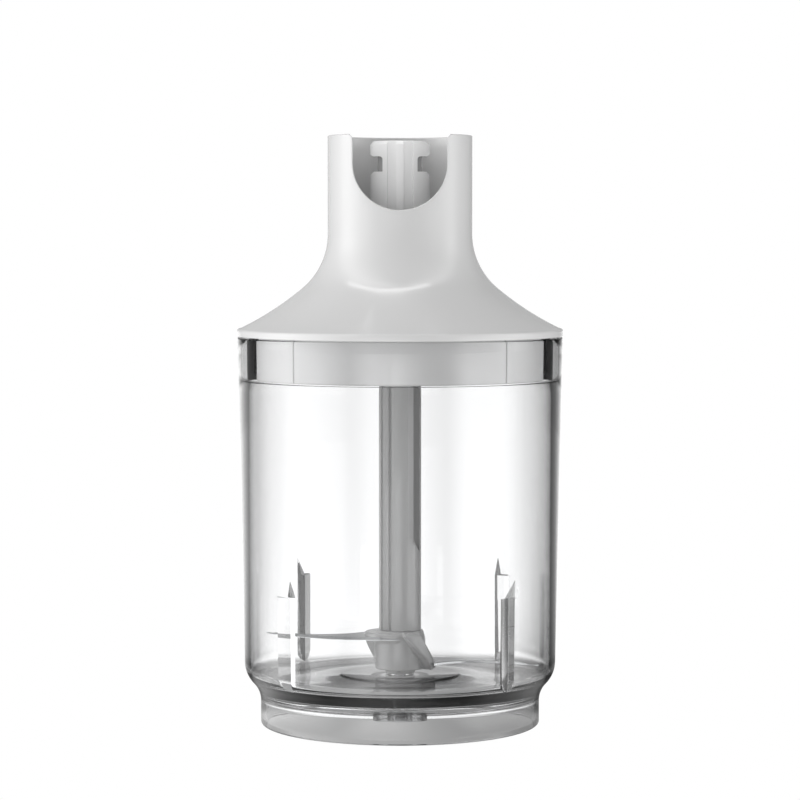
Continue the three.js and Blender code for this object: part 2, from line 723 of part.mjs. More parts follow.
// The dog that the blender's motor turns: six splines outside, a square socket in the top.
function driveDog() {
  const points = [];
  for (let i = 0; i < 6; i++) {
    const middle = FRONT + (TAU * i) / 6;
    points.push(...arc([0, 0], DOG_R, middle - degrees(13), middle + degrees(13), 3));
    points.push(...arc([0, 0], DOG_R - 1.7, middle + degrees(20), middle + degrees(40), 3));
  }
  const made = prism(shapeOf(points), DOG_Z, DOG_TOP_Z)
    .subtract(disc(DRIVE_R + 0.1, DOG_Z - 1, DOG_TOP_Z - 4.8, FINE))
    .subtract(box([-2.6, -2.6, DOG_TOP_Z - 5], [2.6, 2.6, DOG_TOP_Z + 1]));
  return meshOf("drive_dog", made, greyPlastic);
}

function inputBush() {
  return meshOf("input_bush", ring(DRIVE_R + 2.5, DRIVE_R + RUN, COVER_Z + 0.2, COLLAR_TOP_Z, FINE), bronze);
}

function circlip() {
  const low = COLLAR_TOP_Z + 0.4;
  const shape = new THREE.Shape()
    .absarc(0, 0, DRIVE_R + 2, degrees(25), degrees(335), false)
    .absarc(0, 0, DRIVE_R + 0.1, degrees(335), degrees(25), true);
  return meshOf("drive_shaft_circlip", prism(shape, low, low + 0.8, 20), steel);
}

// ---- Assembly ----

const three = [0, 1, 2];
const chopper = new THREE.Group();
chopper.add(bowl(), centrePin());
chopper.add(pinSleeve(), bladeHub(), bladeShaft());
chopper.add(blade("upper_blade", UPPER_BLADE_Z, 0), blade("lower_blade", LOWER_BLADE_Z, Math.PI));
chopper.add(lidCover(), lidBase(), shaftSeal(), outputBush());
chopper.add(gearCover(), inputBush(), ...three.map(coverScrew));
chopper.add(ringGear(), sunGear(), driveShaft(), driveDog(), circlip());
chopper.add(planetCarrier(), carrierPlate(), ...three.map(planetGear), ...three.map(planetPin));

export default chopper;
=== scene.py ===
import json
import math

import bmesh
import bpy
from mathutils import Matrix, Vector


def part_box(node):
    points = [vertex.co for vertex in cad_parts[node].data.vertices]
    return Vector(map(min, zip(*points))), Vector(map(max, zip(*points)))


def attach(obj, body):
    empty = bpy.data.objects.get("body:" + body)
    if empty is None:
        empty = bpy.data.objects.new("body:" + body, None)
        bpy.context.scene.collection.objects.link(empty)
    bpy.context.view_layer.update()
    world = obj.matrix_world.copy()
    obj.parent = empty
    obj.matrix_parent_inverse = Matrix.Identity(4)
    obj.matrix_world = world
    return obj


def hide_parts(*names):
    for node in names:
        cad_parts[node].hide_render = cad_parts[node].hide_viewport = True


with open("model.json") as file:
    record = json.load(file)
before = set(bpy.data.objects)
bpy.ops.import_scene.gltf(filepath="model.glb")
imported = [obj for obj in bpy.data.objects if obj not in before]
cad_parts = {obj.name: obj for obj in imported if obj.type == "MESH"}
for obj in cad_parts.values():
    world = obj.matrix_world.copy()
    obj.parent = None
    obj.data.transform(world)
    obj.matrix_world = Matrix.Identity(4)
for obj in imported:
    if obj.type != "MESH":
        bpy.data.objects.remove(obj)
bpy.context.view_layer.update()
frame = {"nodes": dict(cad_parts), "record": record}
mm = 0.001
front = -math.pi / 2
turn = 2 * math.pi
print("frame loaded:", len(frame["nodes"]), "nodes")


# where things are, in millimetres, from the frame
def low(node):
    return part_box(node)[0] / mm


def high(node):
    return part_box(node)[1] / mm


def polar(radius, angle):
    return (radius * math.cos(angle), radius * math.sin(angle))


def between(a, b, share):
    return a + (b - a) * share


def spread(a, b, count):
    return [between(a, b, i / count) for i in range(count + 1)]


def arcPoints(centre, radius, start, end, steps):
    return [
        (centre[0] + radius * math.cos(a), centre[1] + radius * math.sin(a))
        for a in spread(start, end, steps)
    ]


def curvePoints(a, b, c, d, steps):
    # a cubic from a to d, pulled by b and c
    points = []
    for t in spread(0, 1, steps):
        s = 1 - t
        weights = (s * s * s, 3 * s * s * t, 3 * s * t * t, t * t * t)
        points.append(tuple(sum(w * p[k] for w, p in zip(weights, (a, b, c, d))) for k in range(2)))
    return points


def roundCorners(corners, steps=4, closed=True):
    # corners are (x, y) or (x, y, radius); a corner with a radius becomes an arc
    made = []
    for i, corner in enumerate(corners):
        here = Vector(corner[:2])
        radius = corner[2] if len(corner) > 2 else 0
        if not radius or (not closed and i in (0, len(corners) - 1)):
            made.append(tuple(here))
            continue
        toLast = Vector(corners[i - 1][:2]) - here
        toNext = Vector(corners[(i + 1) % len(corners)][:2]) - here
        angle = toLast.angle(toNext)
        if angle > math.pi - 0.02:
            made.append(tuple(here))
            continue
        reach = min(radius / math.tan(angle / 2), toLast.length * 0.49, toNext.length * 0.49)
        radius = reach * math.tan(angle / 2)
        halfway = (toLast.normalized() + toNext.normalized()).normalized()
        centre = here + halfway * (radius / math.sin(angle / 2))
        a = here + toLast.normalized() * reach - centre
        b = here + toNext.normalized() * reach - centre
        sweep = a.angle_signed(b)
        for k in range(steps + 1):
            swung = a.copy()
            swung.rotate(Matrix.Rotation(-sweep * k / steps, 2))
            made.append(tuple(centre + swung))
    return made


def newPiece(name, mesh):
    piece = bpy.data.objects.new(name, mesh)
    bpy.context.scene.collection.objects.link(piece)
    return piece


def pieceFrom(name, build):
    # build fills an empty bmesh in millimetres
    bm = bmesh.new()
    build(bm)
    bmesh.ops.remove_doubles(bm, verts=bm.verts, dist=1e-5)
    bmesh.ops.recalc_face_normals(bm, faces=bm.faces)
    bmesh.ops.scale(bm, vec=(mm, mm, mm), verts=bm.verts)
    mesh = bpy.data.meshes.new(name)
    bm.to_mesh(mesh)
    bm.free()
    return newPiece(name, mesh)


def loopGrid(bm, loops, closed=True, capped=False):
    # joins each loop of points to the next with quads
    rows = [[bm.verts.new(p) for p in loop] for loop in loops]
    pairs = list(zip(rows, rows[1:]))
    if closed:
        pairs.append((rows[-1], rows[0]))
    for a, b in pairs:
        for i in range(len(a)):
            k = (i + 1) % len(a)
            corners = [a[i], a[k], b[k], b[i]]
            firstEdge = (corners[0].co - corners[1].co).length
            lastEdge = (corners[2].co - corners[3].co).length
            if firstEdge < 1e-6 and lastEdge < 1e-6:
                continue
            bm.faces.new(corners)
    if capped:
        bm.faces.new(list(reversed(rows[0])))
        bm.faces.new(rows[-1])


def lathe(name, outline, segments=128, centre=(0, 0)):
    # a closed outline of (radius, height) turned round an upright axis; radius 0 makes a pole
    def build(bm):
        angles = [turn * i / segments for i in range(segments)]
        rows = []
        for r, z in outline:
            if r < 1e-6:
                rows.append([bm.verts.new((centre[0], centre[1], z))])
            else:
                rows.append([
                    bm.verts.new((centre[0] + r * math.cos(a), centre[1] + r * math.sin(a), z))
                    for a in angles
                ])
        for a, b in zip(rows, rows[1:] + rows[:1]):
            for i in range(segments):
                k = (i + 1) % segments
                corners = [a[i % len(a)], a[k % len(a)], b[k % len(b)], b[i % len(b)]]
                corners = [v for n, v in enumerate(corners) if v not in corners[:n]]
                if len(corners) > 2:
                    bm.faces.new(corners)
    return pieceFrom(name, build)


def slab(name, outline, bottom, top):
    # an outline of (x, y) made into a plate
    def build(bm):
        loopGrid(bm, [[(x, y, z) for x, y in outline] for z in (bottom, top)], closed=False, capped=True)
    return pieceFrom(name, build)


def bar(name, lowCorner, highCorner, angle=0):
    def build(bm):
        bmesh.ops.create_cube(bm, size=1)
        for v in bm.verts:
            v.co = Vector(between(lowCorner[k], highCorner[k], v.co[k] + 0.5) for k in range(3))
        bmesh.ops.rotate(bm, cent=(0, 0, 0), matrix=Matrix.Rotation(angle, 3, "Z"), verts=bm.verts)
    return pieceFrom(name, build)


def settle(piece):
    # applies the piece's modifiers
    graph = bpy.context.evaluated_depsgraph_get()
    mesh = bpy.data.meshes.new_from_object(piece.evaluated_get(graph))
    piece.modifiers.clear()
    piece.data = mesh
    return piece


def combine(piece, other, operation):
    change = piece.modifiers.new("combine", "BOOLEAN")
    change.operation = operation
    change.object = other
    change.solver = "EXACT"
    settle(piece)
    bpy.data.objects.remove(other)
    return piece


def cut(piece, *others):
    for other in others:
        combine(piece, other, "DIFFERENCE")
    return piece


def join(piece, *others):
    for other in others:
        combine(piece, other, "UNION")
    return piece


def breakEdges(piece, width, steps=2, angle=35):
    # the small radius that a mould leaves on every edge
    change = piece.modifiers.new("edges", "BEVEL")
    change.width = width * mm
    change.segments = steps
    change.limit_method = "ANGLE"
    change.angle_limit = math.radians(angle)
    change.use_clamp_overlap = True
    return settle(piece)


def smooth(piece, angle=30):
    piece.data.shade_smooth()
    piece.data.set_sharp_from_angle(angle=math.radians(angle))
    return piece


def gather(piece, *others):
    # puts overlapping closed shapes in one mesh, for moulded to melt together
    bm = bmesh.new()
    bm.from_mesh(piece.data)
    for other in others:
        bm.from_mesh(other.data)
        bpy.data.objects.remove(other)
    bm.to_mesh(piece.data)
    bm.free()
    return piece


def moulded(piece, grain, passes):
    # melts the joins between united shapes into small fillets
    remesh = piece.modifiers.new("remesh", "REMESH")
    remesh.mode = "VOXEL"
    remesh.voxel_size = grain * mm
    remesh.adaptivity = 0
    soften = piece.modifiers.new("soften", "SMOOTH")
    soften.factor = 0.5
    soften.iterations = passes
    settle(piece)
    piece.data.shade_smooth()
    return piece


def nodeTree(name):
    finish = bpy.data.materials.new(name)
    finish.use_nodes = True
    tree = finish.node_tree
    tree.nodes.clear()
    output = tree.nodes.new("ShaderNodeOutputMaterial")
    shader = tree.nodes.new("ShaderNodeBsdfPrincipled")
    tree.links.new(shader.outputs["BSDF"], output.inputs["Surface"])
    place = tree.nodes.new("ShaderNodeTexCoord")
    return finish, tree, shader, place.outputs["Object"], output


def noiseBetween(tree, place, scale, lowValue, highValue, stretch=(1, 1, 1), detail=3):
    mapping = tree.nodes.new("ShaderNodeMapping")
    mapping.inputs["Scale"].default_value = stretch
    tree.links.new(place, mapping.inputs["Vector"])
    noise = tree.nodes.new("ShaderNodeTexNoise")
    noise.inputs["Scale"].default_value = scale
    noise.inputs["Detail"].default_value = detail
    tree.links.new(mapping.outputs["Vector"], noise.inputs["Vector"])
    span = tree.nodes.new("ShaderNodeMapRange")
    span.inputs["From Min"].default_value = 0.3
    span.inputs["From Max"].default_value = 0.7
    span.inputs["To Min"].default_value = lowValue
    span.inputs["To Max"].default_value = highValue
    tree.links.new(noise.outputs["Fac"], span.inputs["Value"])
    return span.outputs["Result"]


def bumpFrom(tree, height, strength, depth, normal=None):
    bump = tree.nodes.new("ShaderNodeBump")
    bump.inputs["Strength"].default_value = strength
    bump.inputs["Distance"].default_value = depth * mm
    tree.links.new(height, bump.inputs["Height"])
    if normal is not None:
        tree.links.new(normal, bump.inputs["Normal"])
    return bump.outputs["Normal"]


def wornEdges(tree, place, amount):
    # 1 on sharp outer edges, broken up so that the wear is uneven
    geometry = tree.nodes.new("ShaderNodeNewGeometry")
    ramp = tree.nodes.new("ShaderNodeMapRange")
    ramp.inputs["From Min"].default_value = 0.52
    ramp.inputs["From Max"].default_value = 0.62
    ramp.inputs["To Max"].default_value = amount
    tree.links.new(geometry.outputs["Pointiness"], ramp.inputs["Value"])
    patch = noiseBetween(tree, place, 260, 0.3, 1)
    wear = tree.nodes.new("ShaderNodeMath")
    wear.operation = "MULTIPLY"
    tree.links.new(ramp.outputs["Result"], wear.inputs[0])
    tree.links.new(patch, wear.inputs[1])
    return wear.outputs["Value"]


def mixColours(tree, share, a, b):
    mix = tree.nodes.new("ShaderNodeMix")
    mix.data_type = "RGBA"
    mix.inputs["A"].default_value = (*a, 1)
    mix.inputs["B"].default_value = (*b, 1)
    tree.links.new(share, mix.inputs["Factor"])
    return mix.outputs["Result"]


def plasticFinish(name, colour, worn, roughness, grain=0.004, coat=0.0):
    # moulded plastic: faint blotches in the colour, fine sparks of texture, edges rubbed lighter or darker
    finish, tree, shader, place, output = nodeTree(name)
    shade = noiseBetween(tree, place, 25, 0, 0.12, detail=1)
    wear = wornEdges(tree, place, 0.25)
    both = tree.nodes.new("ShaderNodeMath")
    both.operation = "ADD"
    tree.links.new(shade, both.inputs[0])
    tree.links.new(wear, both.inputs[1])
    tree.links.new(mixColours(tree, both.outputs["Value"], colour, worn), shader.inputs["Base Color"])
    polish = noiseBetween(tree, place, 30, roughness[0], roughness[1], detail=1)
    tree.links.new(polish, shader.inputs["Roughness"])
    fine = noiseBetween(tree, place, 2600, 0, 1)
    tree.links.new(bumpFrom(tree, fine, 0.25, grain), shader.inputs["Normal"])
    shader.inputs["IOR"].default_value = 1.48
    shader.inputs["Coat Weight"].default_value = coat
    shader.inputs["Coat Roughness"].default_value = 0.08
    return finish


def metalFinish(name, colour, roughness, stretch, scale=900, depth=0.003):
    # steel with fine scratches along one direction, brighter where an edge is rubbed
    finish, tree, shader, place, output = nodeTree(name)
    wear = wornEdges(tree, place, 0.7)
    bright = [min(1, c * 1.25) for c in colour]
    tree.links.new(mixColours(tree, wear, colour, bright), shader.inputs["Base Color"])
    shader.inputs["Metallic"].default_value = 1
    scratch = noiseBetween(tree, place, scale, 0, 1, stretch=stretch)
    polish = noiseBetween(tree, place, scale, roughness[0], roughness[1], stretch=stretch)
    tree.links.new(polish, shader.inputs["Roughness"])
    tree.links.new(bumpFrom(tree, scratch, 0.4, depth), shader.inputs["Normal"])
    return finish


clearPlastic = {
    "tint": (0.985, 0.987, 0.99),
    "shadow": (1, 1, 1),
    "bend": 1.5,
    "polish": (0.0, 0.012),
    "ripple": 0.0005,
    "depthColour": 0.8,
    "depth": 165,
}


def clearFinish(name, look):
    # polished clear plastic: faint ripple from the mould, and hairline scratches that dull it in places
    finish, tree, shader, place, output = nodeTree(name)
    shader.inputs["Base Color"].default_value = (*look["tint"], 1)
    shader.inputs["Transmission Weight"].default_value = 1
    shader.inputs["IOR"].default_value = look["bend"]
    haze = noiseBetween(tree, place, 120, look["polish"][0], look["polish"][1])
    tree.links.new(haze, shader.inputs["Roughness"])
    ripple = noiseBetween(tree, place, 40, 0, 1, detail=1)
    tree.links.new(bumpFrom(tree, ripple, 0.25, look["ripple"]), shader.inputs["Normal"])
    lamps = tree.nodes.new("ShaderNodeBsdfTransparent")
    lamps.inputs["Color"].default_value = (*look["shadow"], 1)
    light = tree.nodes.new("ShaderNodeLightPath")
    mix = tree.nodes.new("ShaderNodeMixShader")
    tree.links.new(light.outputs["Is Shadow Ray"], mix.inputs["Fac"])
    tree.links.new(shader.outputs["BSDF"], mix.inputs[1])
    tree.links.new(lamps.outputs["BSDF"], mix.inputs[2])
    tree.links.new(mix.outputs["Shader"], output.inputs["Surface"])
    smoke = tree.nodes.new("ShaderNodeVolumeAbsorption")
    smoke.inputs["Color"].default_value = (look["depthColour"], look["depthColour"], look["depthColour"], 1)
    smoke.inputs["Density"].default_value = look["depth"]
    tree.links.new(smoke.outputs["Volume"], output.inputs["Volume"])
    return finish


finishes = {
    "clear_plastic": clearFinish("clearPlastic", clearPlastic),
    "white_plastic": plasticFinish(
        "whitePlastic", (0.74, 0.74, 0.74), (0.75, 0.75, 0.75), (0.2, 0.24), 0.001
    ),
    "grey_plastic": plasticFinish(
        "greyPlastic", (0.38, 0.38, 0.38), (0.41, 0.41, 0.41), (0.2, 0.24), 0.0008, 0.9
    ),
    "gear_plastic": plasticFinish("gearPlastic", (0.72, 0.69, 0.6), (0.66, 0.63, 0.54), (0.4, 0.55), 0.006),
    "seal": plasticFinish("sealRubber", (0.6, 0.6, 0.6), (0.52, 0.52, 0.52), (0.45, 0.6), 0.008),
    "blade_steel": metalFinish("bladeSteel", (0.72, 0.73, 0.74), (0.1, 0.2), (0.15, 1, 1)),
    "steel": metalFinish("turnedSteel", (0.62, 0.63, 0.64), (0.18, 0.3), (0.1, 0.1, 1)),
    "bronze": metalFinish("sinteredBronze", (0.45, 0.3, 0.15), (0.4, 0.55), (1, 1, 1), 1500, 0.01),
}
# painted shade: the lid cover is the same white plastic as the skirt, given a darker copy for its shaded tone
lidShadedFinish = plasticFinish("lidPlasticPaintedShade", (0.61, 0.61, 0.61), (0.63, 0.63, 0.63), (0.15, 0.18), 0.0006)
# painted light: the coupling tube is the same white plastic as the skirt, given a lighter copy for its
# brightly lit tone
tubeLitFinish = plasticFinish("tubePlasticPaintedLight", (0.86, 0.86, 0.86), (0.87, 0.87, 0.87), (0.22, 0.26), 0.0006)
# painted shade: a near-black copy of the plastic for the faces inside the lid's slots
slotPaintedShadeFinish = plasticFinish("slotPaintedShade", (0.1, 0.1, 0.1), (0.12, 0.12, 0.12), (0.3, 0.4), 0.0006)
sleeveFinish = plasticFinish("sleevePlastic", (0.45, 0.45, 0.45), (0.48, 0.48, 0.48), (0.3, 0.4), 0.0006)
slotOf = {s["node"]: s["material_slot"] for s in frame["record"]["subparts"]}
for node, piece in frame["nodes"].items():
    piece.data.materials.clear()
    piece.data.materials.append(finishes[slotOf[node]])
print("finishes made")


def place(piece, body, node):
    slot = slotOf[node]
    piece.data.materials.clear()
    piece.data.materials.append(finishes[slot])
    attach(piece, body)
    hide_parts(node)
    return piece


bowl = {
    "rim": (high("bowl").x, high("bowl").z),
    "lip": 55.65,
    "ledge": 121.6,
    "innerTop": 53.2,
    "innerBase": 52.8,
    "wallBase": (54.9, 22),
    "foot": (49.2, 8),
    "footWall": 1.8,
    "floor": (14.2, 17.2),
    "fillet": 3.2,
    "pad": (20.8, 0.7),
    "boss": (7.7, 9.5, 2.5),
    "pinHolder": (high("centre_pin").x + 0.08, 4.4, 3.5),
    "ribRise": 3.0,
    "ribSpan": (-5.2, 1.2),
    "ribTop": (48.7, 54.8),
    "ribs": 4,
}


def shoulderCurve(lower, upper, steps):
    # two equal arcs that meet half way
    run, rise = upper[0] - lower[0], upper[1] - lower[1]
    radius = (run * run + rise * rise) / (4 * run)
    bend = math.asin(rise / (2 * radius))
    first = arcPoints((lower[0] + radius, lower[1]), radius, math.pi, math.pi - bend, steps)
    second = arcPoints((upper[0] - radius, upper[1]), radius, -bend, 0, steps)
    return first + second[1:]


def bowlOutline(b):
    # from the inner edge of the foot, round the outside, over the rim and down to the floor
    footOut = b["foot"][0]
    footIn = footOut - b["footWall"]
    under, floor = b["floor"]
    rimR, rimZ = b["rim"]
    outside = roundCorners([(footIn, 3), (footIn, 0, 0.5), (footOut, 0, 1.1), (footOut, 4)], 5, closed=False)
    outside += shoulderCurve(b["foot"], b["wallBase"], 16)
    outside += [
        (between(b["wallBase"][0], rimR, t), between(b["wallBase"][1], rimZ, t))
        for t in (0.2, 0.4, 0.6, 0.8, 0.95)
    ]
    outside += roundCorners(
        [(rimR, rimZ - 3), (rimR, rimZ, 0.5), (b["lip"], rimZ, 0.5), (b["lip"], rimZ - 3)], 4, closed=False
    )[1:]
    outside += roundCorners(
        [(b["lip"], b["ledge"] + 3), (b["lip"], b["ledge"], 0.15), (b["innerTop"], b["ledge"], 0.25),
         (b["innerTop"] - 0.02, b["ledge"] - 4)], 4, closed=False
    )
    base = b["innerBase"]
    fillet = arcPoints((base - b["fillet"], floor + b["fillet"]), b["fillet"], 0, -math.pi / 2, 9)
    padR, padRise = b["pad"]
    bossIn, bossOut, bossZ = b["boss"]
    holeR, holderR, holderZ = b["pinHolder"]
    inside = roundCorners(
        [(padR + 6, floor), (padR + padRise, floor, 0.4), (padR, floor + padRise, 0.4),
         (holeR, floor + padRise, 0.3), (holeR, holderZ, 0.2), (holderR, holderZ, 0.5), (holderR, under, 0.5),
         (bossIn, under, 0.5), (bossIn, bossZ, 0.3), (bossOut, bossZ, 0.6), (bossOut, under, 0.8),
         (footIn - 4.5, under), (footIn - 3, under)], 4, closed=False
    )
    cavity = arcPoints((footIn - 4.5, under - 4.5), 4.5, math.pi / 2, 0, 10)
    return outside, fillet, inside[:-2] + cavity


def bowlPiece(b):
    outside, fillet, inside = bowlOutline(b)
    top, tip = b["ribTop"]
    rampStart, rampEnd = b["ribSpan"]
    base = b["innerBase"]
    crest = base - b["ribRise"]

    def wallAt(z):
        share = (z - b["floor"][1] - b["fillet"]) / (b["ledge"] - b["floor"][1] - b["fillet"])
        return between(base, b["innerTop"], max(0, share))

    def ribAt(s):
        # the rib's surface at a distance along the wall from its crest
        if s <= rampStart or s >= rampEnd:
            return 1e3
        edge = base + 0.02
        return between(crest, edge, s / rampStart if s < 0 else s / rampEnd)

    # angles, closer together across each rib
    steps = []
    share = turn / b["ribs"]
    for i in range(b["ribs"]):
        middle = front + share * (i + 0.5)
        across = spread(rampStart, -0.3, 7) + [-0.12, 0, 0.12] + spread(0.3, rampEnd, 4)
        steps += [(middle + s / base, s) for s in across]
        gap = spread(middle + rampEnd / base, middle + share + rampStart / base, 44)[1:-1]
        steps += [(a, 1e3) for a in gap]

    def tipAt(s):
        return between(top, tip, min(1, max(0, s / rampEnd))) if s < 1e2 else top

    rows = []
    for r, z in outside:
        rows.append([(r, z)] * len(steps))
    for z in (112, 96, 80, 66, 58):
        rows.append([(wallAt(z), z)] * len(steps))
    rows.append([(wallAt(tipAt(s) + 0.3), tipAt(s) + 0.3) for _, s in steps])
    rows.append([(min(wallAt(top), ribAt(s)), tipAt(s)) for _, s in steps])
    for z in (45, 38, 31, 25):
        rows.append([(min(wallAt(z), ribAt(s)), z) for _, s in steps])
    for r, z in fillet:
        rows.append([(min(r, ribAt(s)), z) for _, s in steps])
    for r, z in [(40, b["floor"][1]), (32, b["floor"][1])] + inside:
        rows.append([(r, z)] * len(steps))

    def build(bm):
        loops = [[(*polar(r, a), z) for (r, z), (a, _) in zip(row, steps)] for row in rows]
        loopGrid(bm, loops)

    piece = pieceFrom("clearBowl", build)
    return smooth(piece, 24)


place(bowlPiece(bowl), "bowl", "bowl")

pin = {"radius": high("centre_pin").x, "ends": (low("centre_pin").z, high("centre_pin").z), "nose": 0.8}
pinLow, pinHigh = pin["ends"]
pinOutline = roundCorners(
    [(0, pinLow), (pin["radius"], pinLow, 0.3), (pin["radius"], pinHigh - pin["nose"], 0.4),
     (pin["radius"] - pin["nose"], pinHigh, 0.4), (0, pinHigh)], 4, closed=False
)
place(smooth(lathe("steelPin", pinOutline, 48)), "bowl", "centre_pin")
print("bowl made")


sleeve = {"bore": 2.08, "flange": 5.2, "outside": 3.6, "step": 19.4}
sleeveOutline = roundCorners(
    [(sleeve["bore"], low("pin_sleeve").z, 0.2), (sleeve["flange"], low("pin_sleeve").z, 0.3),
     (sleeve["flange"], sleeve["step"], 0.3), (sleeve["outside"], sleeve["step"]),
     (sleeve["outside"], high("pin_sleeve").z, 0.3), (sleeve["bore"], high("pin_sleeve").z, 0.2)], 3
)
pinBush = place(smooth(lathe("pinBush", sleeveOutline, 64)), "knife", "pin_sleeve")
pinBush.data.materials[0] = sleeveFinish

knife = {
    "tip": (-48.2, 9.5),
    "thickness": high("upper_blade").z - low("upper_blade").z,
    "ground": 2.4,
    "edge": 0.12,
    "root": [(-7.6, 6.2), (-5.4, 3.4), (-4.9, -0.5), (-3.4, -3.8), (2.4, -5.2), (4.6, -8.6)],
}


def bladePiece(name, k, bottom, angle):
    # a long cutting edge ground from above, and a hollow back
    steps = 40
    cutting = curvePoints((0, -10.4), (-18, -12.4), (-38, -5), k["tip"], steps)
    back = curvePoints(k["tip"], (-38, 0.5), (-24, -5), (-12, 6.8), steps)[::-1]
    t = k["thickness"]

    def build(bm):
        loops = []
        for (ex, ey), (bx, by) in zip(cutting, back):
            inward = Vector((bx - ex, by - ey))
            width = inward.length
            reach = min(k["ground"], width * 0.45)
            step = inward.normalized() * reach if width > 1e-6 else Vector((0, 0))
            lip = inward.normalized() * min(0.25, width * 0.2) if width > 1e-6 else Vector((0, 0))
            drop = t * min(1, width / 3)
            loops.append([
                (ex, ey, 0.1 * t),
                (ex, ey, 0.1 * t + k["edge"] * min(1, width)),
                (ex + step.x, ey + step.y, max(0.4 * t, drop)),
                (bx - lip.x, by - lip.y, max(0.4 * t, drop)),
                (bx, by, max(0.3 * t, drop - 0.15)),
                (bx, by, 0.1),
                (bx - lip.x, by - lip.y, 0),
                (ex + step.x * 0.5, ey + step.y * 0.5, 0),
            ])
        loopGrid(bm, loops, closed=False, capped=True)
        bmesh.ops.translate(bm, vec=(0, 0, bottom), verts=bm.verts)

    piece = pieceFrom(name, build)
    root = [cutting[0], back[0]] + k["root"]
    join(piece, slab("root", root, bottom, bottom + t))
    piece.data.transform(Matrix.Rotation(angle, 4, "Z"))
    return smooth(piece, 20)


place(bladePiece("upperBlade", knife, low("upper_blade").z, 0), "knife", "upper_blade")
place(bladePiece("lowerBlade", knife, low("lower_blade").z, math.pi), "knife", "lower_blade")

hub = {
    "radius": 9,
    "ends": (low("blade_hub").z, 33.4),
    "collar": (9.9, 9.6, 29.6, 32.9),
    "collarShift": -2.9,
    "fin": 12.6,
    "bore": 3.68,
    "spigot": 3.1,
    "grain": 0.22,
}


def finPiece(h):
    # winds down round the hub from the collar to the lower blade
    def build(bm):
        loops = []
        for turned in spread(8, 94, 36):
            fall = min(1, max(0, (turned - 36) / 54))
            top = h["ends"][1] - 0.3 - 10.4 * math.sin(fall * math.pi / 2)
            bottom = max(h["ends"][0], h["ends"][1] - 3.6 - 0.2 * (turned - 15))
            bottomOut = max(h["ends"][0], bottom + 1.4 - 0.03 * turned)
            corners = [(h["radius"] - 1.5, bottom), (h["fin"] - 0.5, bottomOut), (h["fin"], bottomOut + 0.5),
                       (h["fin"], top - 0.8), (h["fin"] - 0.8, top), (h["radius"] - 1.5, top + 0.2)]
            loops.append([(*polar(r, front + math.radians(turned)), z) for r, z in corners])
        loopGrid(bm, loops, closed=False, capped=True)
    return pieceFrom("fin", build)


def gussetPiece(h):
    # a curved web under the collar on the upper blade's side
    def build(bm):
        loops = []
        collar = h["collar"]
        for a in (math.radians(154), math.radians(176)):
            reach = collar[0] - h["collarShift"]
            edge = curvePoints((reach - 0.4, collar[2] + 0.5), (reach - 1.2, collar[2] - 2.5),
                               (h["radius"] + 1, collar[2] - 5), (h["radius"] - 0.6, collar[2] - 8), 10)
            outline = edge + [(h["radius"] - 2, collar[2] - 8), (h["radius"] - 2, collar[2] + 0.5)]
            loops.append([(*polar(r, a), z) for r, z in outline])
        loopGrid(bm, loops, closed=False, capped=True)
    return pieceFrom("gusset", build)


def hubPiece(h):
    bottom, top = h["ends"]
    outline = [(0, bottom), (h["radius"] - 0.1, bottom, 0.7), (h["radius"], top - 3)]
    outline += [(8.2, top, 0.5), (0, top)]
    body = lathe("bladeHub", roundCorners(outline, 4, closed=False), 96)
    rx, ry, collarLow, collarHigh = h["collar"]
    rings = []
    for inset, z in ((0.7, collarLow), (0.2, collarLow + 0.3), (0, collarLow + 0.9), (0, collarHigh - 0.9),
                     (0.25, collarHigh - 0.35), (0.8, collarHigh)):
        shift = h["collarShift"]
        rings.append([
            (shift + (rx - inset) * math.cos(a), (ry - inset) * math.sin(a), z)
            for a in spread(0, turn, 96)[:-1]
        ])
    collar = pieceFrom("collar", lambda bm: loopGrid(bm, rings, closed=False, capped=True))
    spigot = lathe("spigot", [(0, top - 2), (h["spigot"], top - 2), (h["spigot"], high("blade_hub").z),
                              (0, high("blade_hub").z)], 48)
    gather(body, collar, finPiece(h), gussetPiece(h), spigot)
    moulded(body, h["grain"], 5)
    bore = lathe("bore", [(0, bottom - 1), (h["bore"], bottom - 1), (h["bore"], high("pin_sleeve").z + 0.4),
                          (0, high("pin_sleeve").z + 0.4)], 48)
    return cut(body, bore)


smooth(place(hubPiece(hub), "knife", "blade_hub"), 50)

shaft = {
    "radius": 7.5,
    "ends": (low("blade_shaft").z, high("blade_shaft").z),
    "ridge": 23,
    # the long flute, seen from above with the wide ridge to the front: across, and forward of the axis
    "long": [(-6.6, 3.56), (-6.52, 2.7), (-6.1, 2.75), (-6.0, 4.0), (-4.0, 4.5), (-3.9, 3.1), (-3.05, 3.2)],
    # the plain flute that the lid's socket drives
    "driven": [(-3.08, 3.42), (-7.34, 1.56), (-9, 4), (-6, 9), (-2.93, 7)],
    "drivenFrom": 119,
    "chamfer": (2.93, 4.7, 5.1),
    "groove": (4.7, 6.85, -1.2),
    "end": (65.6, 61.2),
    "hole": (3.25, 11.5),
}


